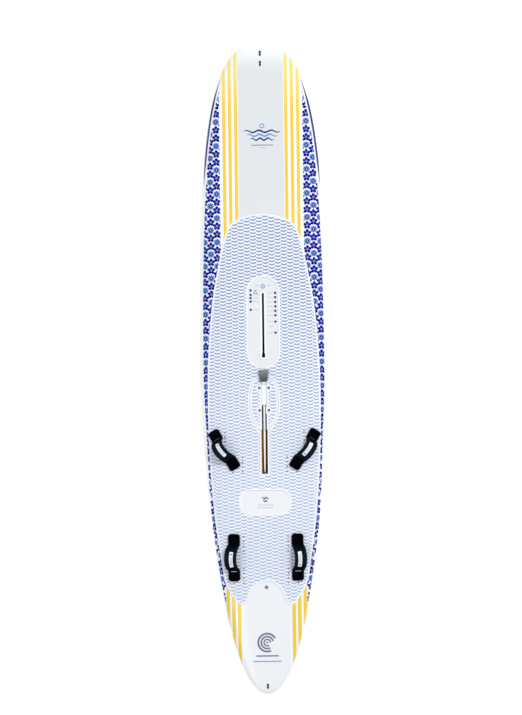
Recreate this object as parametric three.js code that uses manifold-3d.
// A longboard windsurf board with a retractable daggerboard, mast track, fin and four footstraps.
// Millimetres. +Y runs to the nose, +X to starboard and +Z up out of the deck.
// The origin is on the flat of the hull's bottom, at mid-length.
import * as THREE from "three";
import { mergeVertices } from "three/addons/utils/BufferGeometryUtils.js";
import Module from "manifold-3d";

// ---------------------------------------------------------------- driving dimensions

const GAP = 0.3; // between pieces that touch
const BIG = 600; // longer than any cut needs to be

const HALF_LENGTH = 1750;
const HALF_WIDTH = 350;
const WIDEST_Y = -6;
const THICKNESS = 142;
const TIP_THICKNESS = 36;
const FLAT_DECK = 600; // the deck's middle has constant thickness this far each way
const ROCKER_NOSE = { start: 500, rise: 150, power: 2.3 };
const ROCKER_TAIL = { start: 900, rise: 30, power: 2 };
const RAIL_HEIGHT = 0.42; // widest point of a section, as a share of its thickness
const TIP_ROUND = 40;
const SKIN = 2.5;

const PAD = 5; // thickness of the soft deck
const DECK_TOP = THICKNESS;
const PAD_TOP = THICKNESS + GAP + PAD;

const PANEL = { front: 491, rear: 7, halfWidth: 81 }; // bare stadium round the mast track
const OVAL = { y: -716, halfWidth: 132, halfLength: 63.5, corner: 54 };
const TRACK = { front: 415, rear: 48, halfWidth: 17, depth: 34 };
const TRACK_SLOT = { front: 405, rear: 58, half: 5.5, lip: 10, channelHalf: 10, channelFloor: 6 };
const KEYHOLE = { length: 22, half: 8.5 };

const PIVOT = { y: -165, z: THICKNESS / 2 };
const WELL = { front: -40, rear: -590, half: 34, innerFront: -52, step: -330, innerRear: -576 };
const DECK_SLOT_REAR = -565; // the deck runs on a little over the slot's rear end
const WELL_HALF = { cassette: 18.8, blade: 16 };
const WELL_Z = { bottom: 3, top: THICKNESS - 4.3 };
const CASSETTE = { half: 18.5, front: -52.3, rear: -329.7, slotHalf: 12.5, endWall: 5.2, flange: 4 };
const CASSETTE_SCREW = { x: 25, ys: [-105, -225], headR: 7, shaftR: 2, length: 22, headTop: 2.6 };
const HEAD_HALF = 12;
const BLADE_Z = { bottom: 14, top: THICKNESS - 12 };
const TONGUE = { front: -16, rear: -76, bottom: THICKNESS + 14, top: THICKNESS + 24 };
const HANDLE = { front: -9, rear: -72, frontHalf: 26, rearHalf: 18.5, low: 7, high: 32, round: 4 };
const BLADE_HALF = 7;
const PIN_R = 6;
const BUSH = { bore: 6.4, outer: 9, from: 12.8, to: 18.2 };
const GASKET = { inner: 8.5, outer: 46, front: -44, rear: -586, thick: 1.2 };

const FIN_BOX = {
  y: -1470, half: 15, halfLength: 125, depth: 30, slotHalf: 5.2, slotEnd: 10, slotTop: 25,
};
const FIN_SCREW_Y = 97; // from the fin box's middle
const FIN_HALF = 4.5;
const VENT = { y: -1173, headR: 10, bodyR: 12.4, flangeR: 15, holeR: 13.2, boreR: 6.2, depth: 22 };
const TOW_EYES = { tow_eye_nose_front: 1689, tow_eye_nose_rear: 1635, tow_eye_tail: -1705 };
const TOW_EYE = { half: 8, halfLength: 17, depth: 15, wall: 2.5, bar: 5 };

const TAB = { half: 32, length: 64, lift: 1.5, thick: 15 };
const ARCH = { halfThick: 4.5, half: 33, rise: 88, run: 20, lean: 15.5 };
const WEBBING = { half: 25, halfThick: 1.2, clear: 0.4, height: 3.2 };
const STRAP_SCREW = { headR: 6, shaftR: 3, headFrom: 7, headTo: 11, reach: -20 };
const WASHER = { outer: 13.5, inner: 3.6, from: 4.7, to: 6.7 };
const INSERT = { half: 40, halfLength: 50, depth: 24, inboard: 26 };
// Centres of each strap's two tabs on the starboard side, outer or front one first.
const STRAPS = {
  front: [new THREE.Vector2(259.5, -360), new THREE.Vector2(169, -509)],
  rear: [new THREE.Vector2(169, -917), new THREE.Vector2(169, -1105)],
};

// ---------------------------------------------------------------- colours

const finish = (color, roughness, metalness = 0) =>
  new THREE.MeshStandardMaterial({ color, roughness, metalness });
const GELCOAT = finish(0xf1f4f7, 0.2);
const FOAM = finish(0xe9e6da, 0.9);
const LAMINATE = finish(0x9a6a1e, 0.45);
const EVA = finish(0xe4e9f7, 0.85);
const WHITE_PLASTIC = finish(0xf6f7f8, 0.35);
const BLACK_PLASTIC = finish(0x1b1d20, 0.45);
const GREY_RUBBER = finish(0x70757c, 0.6);
const NEOPRENE = finish(0x0d0f18, 0.8);
const POLYESTER = finish(0x202227, 0.85);
const STEEL = finish(0x9a9b9c, 0.35, 1);
const BRONZE = finish(0xb08a4a, 0.45, 0.6);
const FIN_GLASS = finish(0xdfe6ee, 0.3);

// ---------------------------------------------------------------- solids

const wasm = await Module();
wasm.setup();

// A closed three.js geometry as a solid that can be joined and cut.
function solid(geometry, matrix = new THREE.Matrix4()) {
  const bare = geometry.index ? geometry.toNonIndexed() : geometry.clone();
  for (const name of Object.keys(bare.attributes)) {
    if (name !== "position") bare.deleteAttribute(name);
  }
  const merged = mergeVertices(bare.applyMatrix4(matrix), 1e-3);
  const vertProperties = merged.attributes.position.array;
  const triVerts = new Uint32Array(merged.index.array);
  return new wasm.Manifold(new wasm.Mesh({ numProp: 3, vertProperties, triVerts }));
}

function toGeometry(shape) {
  const mesh = shape.getMesh();
  const geometry = new THREE.BufferGeometry();
  geometry.setAttribute("position", new THREE.BufferAttribute(mesh.vertProperties, 3));
  geometry.setIndex(new THREE.BufferAttribute(mesh.triVerts, 1));
  const faceted = geometry.toNonIndexed();
  faceted.computeVertexNormals();
  return faceted;
}

const board = new THREE.Group();

function addPiece(name, shape, material) {
  const mesh = new THREE.Mesh(toGeometry(shape), material);
  mesh.name = name;
  board.add(mesh);
}

const cutAll = (shape, cutters) => cutters.reduce((left, cutter) => left.subtract(cutter), shape);

const at = (x, y, z) => new THREE.Matrix4().makeTranslation(x, y, z);

// A box from its lowest to its highest corner.
function boxSolid([x0, y0, z0], [x1, y1, z1], matrix = new THREE.Matrix4()) {
  const geometry = new THREE.BoxGeometry(x1 - x0, y1 - y0, z1 - z0);
  geometry.translate((x0 + x1) / 2, (y0 + y1) / 2, (z0 + z1) / 2);
  return solid(geometry, matrix);
}

// An upright prism of a shape drawn in X and Y.
function prism(shape, z0, z1, matrix = new THREE.Matrix4(), curveSegments = 8) {
  const geometry = new THREE.ExtrudeGeometry(shape, {
    depth: z1 - z0,
    bevelEnabled: false,
    curveSegments,
  });
  geometry.translate(0, 0, z0);
  return solid(geometry, matrix);
}

// A plate of a shape drawn in Y and Z, centred on the centreline, with its edges bevelled.
function sidePlate(shape, half, bevel, bevelWidth, matrix = new THREE.Matrix4()) {
  const geometry = new THREE.ExtrudeGeometry(shape, {
    depth: 2 * (half - bevel),
    bevelEnabled: bevel > 0,
    bevelThickness: bevel,
    bevelSize: bevelWidth,
    bevelOffset: -bevelWidth,
    bevelSegments: 1,
    curveSegments: 8,
  });
  geometry.translate(0, 0, bevel - half);
  const axes = new THREE.Matrix4().makeBasis(
    new THREE.Vector3(0, 1, 0),
    new THREE.Vector3(0, 0, 1),
    new THREE.Vector3(1, 0, 0),
  );
  return solid(geometry, matrix.clone().multiply(axes));
}

// A turned solid about Z. The profile's points are [radius, height], anticlockwise.
function turned(profile, sides, matrix = new THREE.Matrix4()) {
  const points = profile.map(([r, z]) => new THREE.Vector2(r, z));
  points.push(points[0].clone());
  const upright = new THREE.Matrix4().makeRotationX(Math.PI / 2);
  return solid(new THREE.LatheGeometry(points, sides), matrix.clone().multiply(upright));
}

const rod = (r, z0, z1, sides, matrix) =>
  turned([[0, z0], [r, z0], [r, z1], [0, z1]], sides, matrix);

const tube = (r0, r1, z0, z1, sides, matrix) =>
  turned([[r0, z0], [r1, z0], [r1, z1], [r0, z1]], sides, matrix);

// A solid through a row of rings with equal numbers of points. Each ring is convex and runs
// clockwise seen along the row.
function loft(rings) {
  const count = rings[0].length;
  const index = [];
  for (let i = 0; i + 1 < rings.length; i++) {
    for (let j = 0; j < count; j++) {
      const a = i * count + j;
      const b = i * count + ((j + 1) % count);
      index.push(a, b, b + count, a, b + count, a + count);
    }
  }
  const last = (rings.length - 1) * count;
  for (let j = 1; j + 1 < count; j++) {
    index.push(0, j + 1, j);
    index.push(last, last + j, last + j + 1);
  }
  const geometry = new THREE.BufferGeometry().setFromPoints(rings.flat());
  geometry.setIndex(index);
  return geometry;
}

// ---------------------------------------------------------------- hull form

const TIP_CUT = 0.015; // the outline curves stop this share short of their pointed ends
const HALF_STATIONS = 12;
const noseCurve = new THREE.CubicBezierCurve(
  new THREE.Vector2(HALF_WIDTH, WIDEST_Y),
  new THREE.Vector2(HALF_WIDTH, 1298),
  new THREE.Vector2(280, HALF_LENGTH),
  new THREE.Vector2(0, HALF_LENGTH),
);
const tailCurve = new THREE.CubicBezierCurve(
  new THREE.Vector2(0, -HALF_LENGTH),
  new THREE.Vector2(253, -HALF_LENGTH),
  new THREE.Vector2(HALF_WIDTH, -405),
  new THREE.Vector2(HALF_WIDTH, WIDEST_Y),
);

// Points (half-width, Y) of the plan outline from tail to nose.
function outline(steps) {
  const points = [];
  const span = 1 - TIP_CUT;
  for (let i = 0; i < steps; i++) points.push(tailCurve.getPoint(TIP_CUT + (span * i) / steps));
  for (let i = 0; i <= steps; i++) points.push(noseCurve.getPoint((span * i) / steps));
  return points;
}

const fineOutline = outline(150);

function halfWidthAt(y) {
  const next = fineOutline.findIndex((p) => p.y >= y);
  if (next < 1) return fineOutline.at(next).x;
  const a = fineOutline[next - 1];
  const b = fineOutline[next];
  return a.x + ((b.x - a.x) * (y - a.y)) / (b.y - a.y);
}

const beyond = (value, start, span) => Math.max(0, (value - start) / span);

function rocker(y) {
  const nose = beyond(y, ROCKER_NOSE.start, HALF_LENGTH - ROCKER_NOSE.start);
  const tail = beyond(-y, ROCKER_TAIL.start, HALF_LENGTH - ROCKER_TAIL.start);
  return ROCKER_NOSE.rise * nose ** ROCKER_NOSE.power + ROCKER_TAIL.rise * tail ** ROCKER_TAIL.power;
}

// Heights of the bottom, the widest point and the deck on the centreline.
function heights(y) {
  const taper = beyond(Math.abs(y), FLAT_DECK, HALF_LENGTH - FLAT_DECK) ** 2;
  const thick = THICKNESS - (THICKNESS - TIP_THICKNESS) * taper;
  const tip = Math.min(1, beyond(Math.abs(y), HALF_LENGTH - TIP_ROUND, TIP_ROUND));
  const round = Math.sqrt(1 - tip ** 2);
  const rail = rocker(y) + RAIL_HEIGHT * thick;
  return {
    bottom: rail - RAIL_HEIGHT * thick * round,
    rail,
    deck: rail + (1 - RAIL_HEIGHT) * thick * round,
  };
}

// A section is flat in the middle and turns down to the rail as a superellipse does.
const DECK_POWER = 5;
const BOTTOM_POWER = 8;
const DECK_ANGLES = [2.8, 12, 25, 40, 57, 74];
const BOTTOM_ANGLES = [10, 28, 50, 72];

function ring(halfWidth, stationY, y, inset) {
  const h = heights(stationY);
  const side = [];
  const place = (degrees, flatDegrees, power, from, to) => {
    const angle = THREE.MathUtils.degToRad(degrees);
    const flat = Math.cos(THREE.MathUtils.degToRad(flatDegrees));
    const x = (halfWidth - inset) * Math.sin(angle) ** (2 / power);
    side.push(new THREE.Vector3(x, y, from + ((to - from) * Math.cos(angle)) / flat));
  };
  for (const angle of DECK_ANGLES) place(angle, DECK_ANGLES[0], DECK_POWER, h.rail, h.deck - inset);
  side.push(new THREE.Vector3(halfWidth - inset, y, h.rail));
  for (const angle of [...BOTTOM_ANGLES].reverse()) {
    place(angle, BOTTOM_ANGLES[0], BOTTOM_POWER, h.rail, h.bottom + inset);
  }
  const port = side.map((p) => new THREE.Vector3(-p.x, p.y, p.z)).reverse();
  return [...side, ...port];
}

// The hull's form, drawn in all round by inset and lifted by lift. An inset form also ends
// short of the tips, which are solid glass.
const SOLID_TIP = 16;

function hullForm(inset = 0, lift = 0) {
  const reach = inset ? 1 - (SOLID_TIP + inset) / HALF_LENGTH : 1;
  const rings = outline(HALF_STATIONS).map((p) => ring(p.x, p.y, p.y * reach, inset));
  return solid(loft(rings), at(0, 0, lift));
}

function deckHeight(x, y) {
  const h = heights(y);
  const across = Math.min(1, Math.abs(x) / halfWidthAt(y));
  const flat = Math.cos(THREE.MathUtils.degToRad(DECK_ANGLES[0]));
  const share = Math.min(1, Math.sqrt(1 - across ** DECK_POWER) / flat);
  return h.rail + (h.deck - h.rail) * share;
}

// A frame on the deck: Z along the deck's outward normal, Y along the deck towards a direction.
function deckFrame(x, y, lift, alongX = 0, alongY = 1) {
  const step = 2;
  const slopeX = (deckHeight(x + step, y) - deckHeight(x - step, y)) / (2 * step);
  const slopeY = (deckHeight(x, y + step) - deckHeight(x, y - step)) / (2 * step);
  const up = new THREE.Vector3(-slopeX, -slopeY, 1).normalize();
  const along = new THREE.Vector3(alongX, alongY, 0);
  along.addScaledVector(up, -along.dot(up)).normalize();
  const across = new THREE.Vector3().crossVectors(along, up);
  const origin = new THREE.Vector3(x, y, deckHeight(x, y)).addScaledVector(up, lift);
  return new THREE.Matrix4().makeBasis(across, along, up).setPosition(origin);
}

// The frame of the hull's bottom at a place on the centreline: Z still points up.
function bottomFrame(y) {
  const slope = (rocker(y + 1) - rocker(y - 1)) / 2;
  const tilt = new THREE.Matrix4().makeRotationX(Math.atan(slope));
  return at(0, y, rocker(y)).multiply(tilt);
}

// ---------------------------------------------------------------- plan shapes

function rectangle(x0, y0, x1, y1) {
  return [
    new THREE.Vector2(x0, y0),
    new THREE.Vector2(x1, y0),
    new THREE.Vector2(x1, y1),
    new THREE.Vector2(x0, y1),
  ];
}

// A box with rounded corners about (x, y). With radius equal to a half side it is a stadium.
function roundedBox(target, y, half, halfLength, radius) {
  target.moveTo(half - radius, y - halfLength);
  target.absarc(half - radius, y - halfLength + radius, radius, -Math.PI / 2, 0);
  target.absarc(half - radius, y + halfLength - radius, radius, 0, Math.PI / 2);
  target.absarc(-half + radius, y + halfLength - radius, radius, Math.PI / 2, Math.PI);
  target.absarc(-half + radius, y - halfLength + radius, radius, Math.PI, 1.5 * Math.PI);
  return target;
}

const mirrored = (points) =>
  points.map((p) => new THREE.Vector2(-p.x, p.y)).reverse();

// The pad's edge on the starboard side, from the middle of its front to the middle of the
// bell-shaped cut-out at its rear.
const PAD_EDGE = [
  [0, 829], [134, 799], [195, 727], [244, 520], [278, 308], [300, 14], [302, -281],
  [292, -555], [271, -812], [242, -1021], [218, -1154], [168, -1240], [135, -1268],
  [109, -1252], [89, -1206], [64, -1165], [0, -1139],
].map(([x, y]) => new THREE.Vector2(x, y));

// The outline of the cassette's flange, drawn out by grow: round in front and tapered behind.
const FLANGE_EDGE = [[0, -46], [52, -66], [73, -130], [73, -235], [36, -317], [20, -329]];

function flangeShape(grow) {
  const right = FLANGE_EDGE.map(([x, y]) => new THREE.Vector2(x, y));
  const centre = new THREE.Vector2(0, -190);
  for (const p of right) p.addScaledVector(p.clone().sub(centre).normalize(), grow);
  const points = new THREE.SplineCurve([...mirrored(right.slice(1)), ...right]).getPoints(24);
  return new THREE.Shape(points);
}

function padShape() {
  const right = new THREE.SplineCurve(PAD_EDGE).getPoints(34);
  return new THREE.Shape([...mirrored(right.slice(1)), ...right.slice(0, -1)]);
}

// ---------------------------------------------------------------- fixings along the deck

const SIDES = { port: -1, starboard: 1 };

// Every strap: its two tab frames, with Y of each pointing along the deck to the other tab.
function strapEnds(kind, side) {
  const [a, b] = STRAPS[kind].map((p) => new THREE.Vector2(p.x * side, p.y));
  const lift = GAP + PAD + TAB.lift;
  const run = b.clone().sub(a);
  return [
    { place: a, frame: deckFrame(a.x, a.y, lift, run.x, run.y) },
    { place: b, frame: deckFrame(b.x, b.y, lift, -run.x, -run.y) },
  ];
}

const straps = [];
for (const kind of Object.keys(STRAPS)) {
  for (const [sideName, side] of Object.entries(SIDES)) {
    straps.push({ name: `${kind}_${sideName}`, side, ends: strapEnds(kind, side) });
  }
}
const strapScrews = straps.flatMap((strap) =>
  strap.ends.map((end, i) => ({ name: `${strap.name}_${i ? "rear" : "front"}`, strap, ...end })),
);

// The block under a tab also reaches the spare row of holes inboard of it.
function insertBlock({ place, strap }, grow) {
  const frame = deckFrame(place.x - INSERT.inboard * strap.side, place.y, 0);
  const half = INSERT.half + grow;
  const halfLength = INSERT.halfLength + grow;
  return boxSolid([-half, -halfLength, -INSERT.depth - grow], [half, halfLength, BIG], frame);
}

const holesFor = (r, z0, z1) => strapScrews.map(({ frame }) => rod(r, z0, z1, 8, frame));

// ---------------------------------------------------------------- hull pieces

const eyeFrames = Object.entries(TOW_EYES).map(([name, y]) => ({ name, frame: deckFrame(0, y, 0) }));
const ventFrame = deckFrame(0, VENT.y, 0);
const finFrame = bottomFrame(FIN_BOX.y);

const eyeBody = (grow, z0, z1, frame) =>
  prism(
    roundedBox(new THREE.Shape(), 0, TOW_EYE.half + grow, TOW_EYE.halfLength + grow, TOW_EYE.half + grow),
    z0,
    z1,
    frame,
    3,
  );

const trackBox = (grow) =>
  boxSolid(
    [-TRACK.halfWidth - grow, TRACK.rear - grow, DECK_TOP - TRACK.depth - grow],
    [TRACK.halfWidth + grow, TRACK.front + grow, DECK_TOP + (grow ? BIG : 0)],
  );

// Cuts through the deck skin and what lies under it.
function deckOpenings() {
  return [
    trackBox(GAP),
    prism(flangeShape(GAP), DECK_TOP - CASSETTE.flange - GAP, BIG),
    boxSolid([-WELL_HALF.blade, DECK_SLOT_REAR, BIG / 8], [WELL_HALF.blade, WELL.step, BIG]),
    rod(VENT.holeR, -BIG / 10, BIG, 12, ventFrame),
    ...eyeFrames.map(({ frame }) => eyeBody(GAP, -TOW_EYE.depth - GAP, BIG / 4, frame)),
  ];
}

function finBoxBlock(grow) {
  const half = FIN_BOX.half + grow;
  const halfLength = FIN_BOX.halfLength + grow;
  return boxSolid(
    [-half, -halfLength, grow ? -BIG / 8 : GAP],
    [half, halfLength, FIN_BOX.depth + grow],
    finFrame,
  );
}

function addSkins() {
  const laminate = hullForm().subtract(hullForm(SKIN));
  const seam = outline(HALF_STATIONS).map((p) => new THREE.Vector2(p.y, heights(p.y).rail));
  const cap = (lift, z) => {
    const line = seam.map((p) => new THREE.Vector2(p.x, p.y + lift));
    const ends = [new THREE.Vector2(HALF_LENGTH + 50, line.at(-1).y)];
    ends.push(new THREE.Vector2(HALF_LENGTH + 50, z));
    ends.push(new THREE.Vector2(-HALF_LENGTH - 50, z));
    ends.push(new THREE.Vector2(-HALF_LENGTH - 50, line[0].y));
    return sidePlate(new THREE.Shape([...line, ...ends]), BIG, 0, 0);
  };
  const deck = laminate.intersect(cap(GAP / 2, BIG));
  const bottom = laminate.intersect(cap(-GAP / 2, -BIG));
  addPiece("deck_shell", cutAll(deck, [...deckOpenings(), ...holesFor(4, -BIG / 10, 10)]), GELCOAT);
  const slot = boxSolid(
    [-WELL_HALF.cassette, WELL.innerRear, -BIG],
    [WELL_HALF.cassette, WELL.innerFront, BIG / 10],
  );
  addPiece("bottom_shell", cutAll(bottom, [slot, finBoxBlock(GAP)]), GELCOAT);
}

function addCore() {
  const core = hullForm(SKIN + GAP);
  const wellHalf = WELL.half + GAP;
  const wellBox = boxSolid([-wellHalf, WELL.rear - GAP, -BIG], [wellHalf, WELL.front + GAP, BIG]);
  const blocks = strapScrews.map((screw) => insertBlock(screw, GAP));
  addPiece("foam_core", cutAll(core, [wellBox, finBoxBlock(GAP), ...deckOpenings(), ...blocks]), FOAM);
}

function addInserts() {
  const core = hullForm(SKIN + GAP);
  for (const screw of strapScrews) {
    const bore = rod(STRAP_SCREW.shaftR + 0.6, -BIG / 10, 10, 8, screw.frame);
    const block = insertBlock(screw, 0).intersect(core).subtract(bore);
    addPiece(`strap_insert_${screw.name}`, block, BLACK_PLASTIC);
  }
}

function addPads() {
  const shape = padShape();
  const middle = (PANEL.front + PANEL.rear) / 2;
  const halfPanel = (PANEL.front - PANEL.rear) / 2;
  shape.holes.push(roundedBox(new THREE.Path(), middle, PANEL.halfWidth, halfPanel, PANEL.halfWidth));
  shape.holes.push(roundedBox(new THREE.Path(), OVAL.y, OVAL.halfWidth, OVAL.halfLength, OVAL.corner));
  const cutLine = 1;
  const margin = 1.5;
  const layer = prism(shape, 0, BIG).intersect(hullForm(0, GAP + PAD)).subtract(hullForm(0, GAP));
  const slotEdge = WELL_HALF.blade + margin;
  const slot = boxSolid([-slotEdge, DECK_SLOT_REAR - margin, 0], [slotEdge, -250, BIG]);
  const flange = prism(flangeShape(cutLine), 0, BIG);
  addPiece("deck_pad", cutAll(layer, [flange, slot, ...holesFor(4, -BIG / 10, 20)]), EVA);

  const inner = CASSETTE.slotHalf + margin;
  const notches = cassetteScrewFrames().map((frame) => rod(8, -10, 20, 12, frame));
  const opening = boxSolid([-inner, -BIG, 0], [inner, -60, BIG]);
  const cover = prism(flangeShape(-cutLine), DECK_TOP + GAP, PAD_TOP);
  addPiece("cassette_pad", cutAll(cover, [opening, ...notches]), EVA);
}

function addMastTrack() {
  const { front, rear, half, lip, channelHalf, channelFloor } = TRACK_SLOT;
  const floor = DECK_TOP - TRACK.depth + channelFloor;
  const slot = boxSolid([-half, rear, floor], [half, front, BIG]);
  const channel = boxSolid([-channelHalf, rear, floor], [channelHalf, front, DECK_TOP - lip]);
  const keyhole = boxSolid([-KEYHOLE.half, rear, floor], [KEYHOLE.half, rear + KEYHOLE.length, BIG]);
  addPiece("mast_track", cutAll(trackBox(0), [slot, channel, keyhole]), WHITE_PLASTIC);
}

// ---------------------------------------------------------------- daggerboard

function cassetteScrewFrames() {
  const frames = [];
  for (const y of CASSETTE_SCREW.ys) {
    for (const side of Object.values(SIDES)) frames.push(at(side * CASSETTE_SCREW.x, y, DECK_TOP));
  }
  return frames;
}

// Turns a solid's own Z along the board's +X, at the pivot.
const pivotFrame = () =>
  at(0, PIVOT.y, PIVOT.z).multiply(new THREE.Matrix4().makeRotationY(Math.PI / 2));

function addWell() {
  const shape = new THREE.Shape(rectangle(-WELL.half, WELL.rear, WELL.half, WELL.front));
  const wide = WELL_HALF.cassette;
  const narrow = WELL_HALF.blade;
  shape.holes.push(
    new THREE.Path([
      new THREE.Vector2(-wide, WELL.innerFront),
      new THREE.Vector2(-wide, WELL.step),
      new THREE.Vector2(-narrow, WELL.step),
      new THREE.Vector2(-narrow, WELL.innerRear),
      new THREE.Vector2(narrow, WELL.innerRear),
      new THREE.Vector2(narrow, WELL.step),
      new THREE.Vector2(wide, WELL.step),
      new THREE.Vector2(wide, WELL.innerFront),
    ]),
  );
  const holes = cassetteScrewFrames().map((frame) => rod(2.4, -26, 10, 8, frame));
  addPiece("daggerboard_well", cutAll(prism(shape, WELL_Z.bottom, WELL_Z.top), holes), LAMINATE);
}

function addCassette() {
  const { half, front, rear, slotHalf, endWall, flange } = CASSETTE;
  const plate = prism(flangeShape(0), DECK_TOP - flange, DECK_TOP);
  const body = boxSolid([-half, rear, WELL_Z.bottom], [half, front, DECK_TOP - SKIN - GAP]);
  const slot = boxSolid([-slotHalf, -BIG, -BIG], [slotHalf, front - endWall, BIG]);
  const bushBore = rod(BUSH.outer + 0.4, -BIG, BIG, 16, pivotFrame());
  const screwHoles = cassetteScrewFrames().map((frame) => rod(2.6, -20, 10, 8, frame));
  const cutters = [slot, bushBore, ...screwHoles];
  addPiece("cassette", cutAll(plate.add(body), cutters), BLACK_PLASTIC);

  const { headR, shaftR, length, headTop } = CASSETTE_SCREW;
  const profile = [
    [0, -length], [shaftR, -length], [shaftR, GAP], [headR, GAP], [headR - 2, headTop], [0, headTop],
  ];
  cassetteScrewFrames().forEach((frame, i) => {
    addPiece(`cassette_screw_${i + 1}`, turned(profile, 12, frame), STEEL);
  });
}

// The daggerboard seen from starboard, as [Y, Z] points, lying back in its slot.
function headShape() {
  const shape = new THREE.Shape();
  const { front, rear, bottom, top } = TONGUE;
  shape.moveTo(front, top);
  shape.lineTo(rear, top);
  shape.lineTo(rear - 14, DECK_TOP);
  shape.lineTo(-196, DECK_TOP);
  shape.quadraticCurveTo(-212, DECK_TOP - 14, -226, BLADE_Z.top - 6);
  shape.lineTo(-226, PIVOT.z - 11);
  shape.absarc(PIVOT.y, PIVOT.z, PIVOT.z - BLADE_Z.bottom, -2.4, -0.25);
  shape.lineTo(rear + 10, DECK_TOP - 10);
  shape.lineTo(rear + 10, bottom);
  shape.lineTo(front, bottom);
  return shape;
}

function bladeShape() {
  const shape = new THREE.Shape();
  const { bottom, top } = BLADE_Z;
  shape.moveTo(-170, top);
  shape.lineTo(-546, top - 3);
  shape.quadraticCurveTo(-565, top - 5, -560, top - 34);
  shape.quadraticCurveTo(-544, bottom + 12, -430, bottom + 3);
  shape.lineTo(-170, bottom);
  return shape;
}

function addDaggerboard() {
  const bore = rod(PIN_R + 0.6, -BIG, BIG, 16, pivotFrame());
  const head = sidePlate(headShape(), HEAD_HALF, 0, 0);
  const blade = sidePlate(bladeShape(), BLADE_HALF, 3, 8);
  addPiece("daggerboard_blade", head.add(blade).subtract(bore), WHITE_PLASTIC);

  const { front, rear, frontHalf, rearHalf, low, high, round } = HANDLE;
  const side = [
    new THREE.Vector2(rearHalf - 6, rear),
    new THREE.Vector2(rearHalf, rear + 6),
    new THREE.Vector2(frontHalf, front),
  ];
  const geometry = new THREE.ExtrudeGeometry(new THREE.Shape([...mirrored(side), ...side]), {
    depth: high - low - 2 * round,
    bevelThickness: round,
    bevelSize: round,
    bevelOffset: -round,
    bevelSegments: 2,
  });
  const fit = 0.4;
  const half = HEAD_HALF + fit;
  const pocket = boxSolid([-half, -BIG, TONGUE.bottom - fit], [half, TONGUE.front + fit, TONGUE.top + fit]);
  const notch = boxSolid([-half, -BIG, 0], [half, TONGUE.rear + 10 + fit, TONGUE.bottom + 1]);
  const block = solid(geometry, at(0, 0, DECK_TOP + low + round));
  addPiece("daggerboard_handle", cutAll(block, [pocket, notch]), GREY_RUBBER);

  addPiece("daggerboard_pin", rod(PIN_R, -CASSETTE.half + 0.6, CASSETTE.half - 0.6, 16, pivotFrame()), STEEL);
  addPiece("pivot_bush_left", tube(BUSH.bore, BUSH.outer, -BUSH.to, -BUSH.from, 16, pivotFrame()), BRONZE);
  addPiece("pivot_bush_right", tube(BUSH.bore, BUSH.outer, BUSH.from, BUSH.to, 16, pivotFrame()), BRONZE);
}

function addGaskets() {
  const { inner, outer, front, rear, thick } = GASKET;
  const low = -GAP - thick;
  addPiece("gasket_left", boxSolid([-outer, rear, low], [-inner, front, -GAP]), POLYESTER);
  addPiece("gasket_right", boxSolid([inner, rear, low], [outer, front, -GAP]), POLYESTER);
}

// ---------------------------------------------------------------- fin, vent, tow eyes

function addFin() {
  const { slotHalf, slotEnd, slotTop, halfLength } = FIN_BOX;
  const slotLength = halfLength - slotEnd;
  const slot = boxSolid([-slotHalf, -slotLength, -10], [slotHalf, slotLength, slotTop], finFrame);
  addPiece("fin_box", finBoxBlock(0).subtract(slot), BLACK_PLASTIC);

  const blade = new THREE.Shape();
  blade.moveTo(82, -1);
  blade.bezierCurveTo(52, -120, -60, -260, -214, -352);
  blade.quadraticCurveTo(-232, -358, -232, -342);
  blade.bezierCurveTo(-196, -250, -100, -140, -84, -1);
  const tab = new THREE.Shape(rectangle(-80, -12, 76, 22));
  const tongue = new THREE.Shape(rectangle(70, 3, 106, 8));
  const screwFrame = finFrame.clone().multiply(at(0, FIN_SCREW_Y, 0));
  const screwHole = rod(2.6, -10, 20, 8, screwFrame);
  const fin = sidePlate(blade, FIN_HALF, 2.5, 5, finFrame)
    .add(sidePlate(tab, FIN_HALF, 0, 0, finFrame))
    .add(sidePlate(tongue, FIN_HALF, 0, 0, finFrame));
  addPiece("fin", fin.subtract(screwHole), FIN_GLASS);

  const screw = [[0, -0.5], [4.2, -0.5], [4.2, 2.6], [2, 2.6], [2, 21], [0, 21]];
  addPiece("fin_screw", turned(screw, 8, screwFrame), STEEL);
}

function addVent() {
  const { headR, bodyR, flangeR, boreR, depth } = VENT;
  const seat = -3;
  const housing = [
    [boreR, -depth], [bodyR, -depth], [bodyR, GAP], [flangeR, GAP],
    [flangeR, 2], [headR + 0.6, 2], [headR + 0.6, seat], [boreR, seat],
  ];
  addPiece("vent_housing", turned(housing, 16, ventFrame), WHITE_PLASTIC);

  const ring = tube(boreR + 0.6, headR - 0.2, seat + GAP, -1, 16, ventFrame);
  addPiece("vent_oring", ring, NEOPRENE);

  const under = -1 + GAP;
  const threadR = boreR - 0.6;
  const profile = [
    [0, -16], [threadR, -16], [threadR, under], [headR, under], [headR, 2.4], [headR - 1, 3.4], [0, 3.4],
  ];
  const screw = turned(profile, 16, ventFrame);
  const cross = [[8, 1.2], [1.2, 8]].map(([x, y]) => boxSolid([-x, -y, 1.4], [x, y, 10], ventFrame));
  addPiece("vent_screw", cutAll(screw, cross), STEEL);
}

function addTowEyes() {
  const { wall, depth, half, halfLength, bar } = TOW_EYE;
  for (const { name, frame } of eyeFrames) {
    const pocket = eyeBody(-wall, -depth + wall, 10, frame);
    const cross = boxSolid([-half + 1, -bar / 2, -bar - 1], [half - 1, bar / 2, -1], frame);
    addPiece(name, eyeBody(0, -depth, 0, frame).subtract(pocket).add(cross), BLACK_PLASTIC);
  }
}

// ---------------------------------------------------------------- footstraps

const along = ({ frame }, y, z) => new THREE.Vector3(0, y, z).applyMatrix4(frame);

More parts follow.
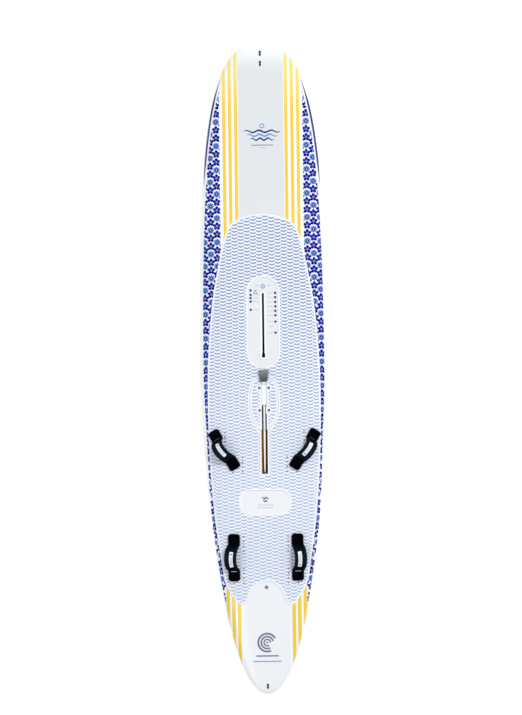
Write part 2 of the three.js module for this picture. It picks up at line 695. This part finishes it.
// Centres of a strap from one tab's outer end over the arch to the other's. Each has its way
// along the arch, from 0 to 1, and how far the section has changed from a tab's to the arch's.
function strapLine(strap, overrun) {
  const [a, b] = strap.ends;
  const height = TAB.thick / 2;
  const flat = TAB.length / 2;
  const start = -flat - overrun;
  const tab = (end, way) =>
    [start, -12, 16, flat - 4].map((y) => ({ point: along(end, y, height), way, arch: 0 }));
  const run = b.place.clone().sub(a.place).normalize();
  const out = new THREE.Vector3(-run.y, run.x, 0).multiplyScalar(ARCH.lean * strap.side);
  const handle = (end) => along(end, flat - 4 + ARCH.run, height + ARCH.rise).add(out);
  const curve = new THREE.CubicBezierCurve3(
    along(a, flat - 4, height),
    handle(a),
    handle(b),
    along(b, flat - 4, height),
  );
  const steps = 8;
  const arch = [];
  for (let i = 1; i < steps; i++) {
    const way = i / steps;
    arch.push({ point: curve.getPoint(way), way, arch: Math.min(1, Math.min(way, 1 - way) * 4) });
  }
  return [...tab(a, 0), ...arch, ...tab(b, 1).reverse()];
}

// Rings of a ribbon along a strap. size gives its half-width, half-thickness and the height
// of its middle above the strap's middle, each by the share of arch.
function strapRings(strap, overrun, size, corner) {
  const line = strapLine(strap, overrun);
  const [first, second] = strap.ends.map((end) => new THREE.Vector3().setFromMatrixColumn(end.frame, 0));
  second.negate();
  return line.map(({ point, way, arch }, i) => {
    const before = line[Math.max(0, i - 1)].point;
    const after = line[Math.min(line.length - 1, i + 1)].point;
    const tangent = after.clone().sub(before).normalize();
    const side = first.clone().lerp(second, way);
    side.addScaledVector(tangent, -side.dot(tangent)).normalize();
    const up = new THREE.Vector3().crossVectors(side, tangent);
    const { half, halfThick, offset } = size(arch);
    const centre = point.clone().addScaledVector(up, offset);
    const cut = corner * halfThick;
    const short = half - cut;
    const low = halfThick - cut;
    const corners = corner
      ? [
          [-short, halfThick], [short, halfThick], [half, low], [half, -low],
          [short, -halfThick], [-short, -halfThick], [-half, -low], [-half, low],
        ]
      : [[-half, halfThick], [half, halfThick], [half, -halfThick], [-half, -halfThick]];
    return corners.map(([x, z]) => centre.clone().addScaledVector(side, x).addScaledVector(up, z));
  });
}

const mix = THREE.MathUtils.lerp;
const webbingDrop = WEBBING.height - TAB.thick / 2;
const coverSize = (arch) => ({
  half: mix(TAB.half, ARCH.half, arch),
  halfThick: mix(TAB.thick / 2, ARCH.halfThick, arch),
  offset: 0,
});
const webbingSize = (clear) => (arch) => ({
  half: WEBBING.half + clear,
  halfThick: WEBBING.halfThick + clear,
  offset: mix(webbingDrop, 0, arch),
});

function addStraps() {
  for (const strap of straps) {
    const cover = solid(loft(strapRings(strap, 0, coverSize, 0.5)));
    const channel = solid(loft(strapRings(strap, 8, webbingSize(WEBBING.clear), 0)));
    const pockets = strap.ends.map(({ frame }) =>
      rod(WASHER.outer + 1.5, -20, STRAP_SCREW.headTo + 0.8, 12, frame),
    );
    addPiece(`strap_cover_${strap.name}`, cutAll(cover, [channel, ...pockets]), NEOPRENE);

    const webbing = solid(loft(strapRings(strap, -2, webbingSize(0), 0)));
    const holes = strap.ends.map(({ frame }) => rod(WASHER.inner, -20, 20, 8, frame));
    addPiece(`strap_webbing_${strap.name}`, cutAll(webbing, holes), POLYESTER);
  }
  const { headR, shaftR, headFrom, headTo, reach } = STRAP_SCREW;
  const screw = [
    [0, reach], [shaftR, reach], [shaftR, headFrom], [headR, headFrom], [headR, headTo], [0, headTo],
  ];
  const { inner, outer, from, to } = WASHER;
  for (const { name, frame } of strapScrews) {
    addPiece(`strap_screw_${name}`, turned(screw, 8, frame), STEEL);
    addPiece(`strap_washer_${name}`, tube(inner, outer, from, to, 10, frame), STEEL);
  }
}

// ---------------------------------------------------------------- assembly

addSkins();
addCore();
addInserts();
addPads();
addMastTrack();
addWell();
addCassette();
addDaggerboard();
addGaskets();
addFin();
addVent();
addTowEyes();
addStraps();

export default board;
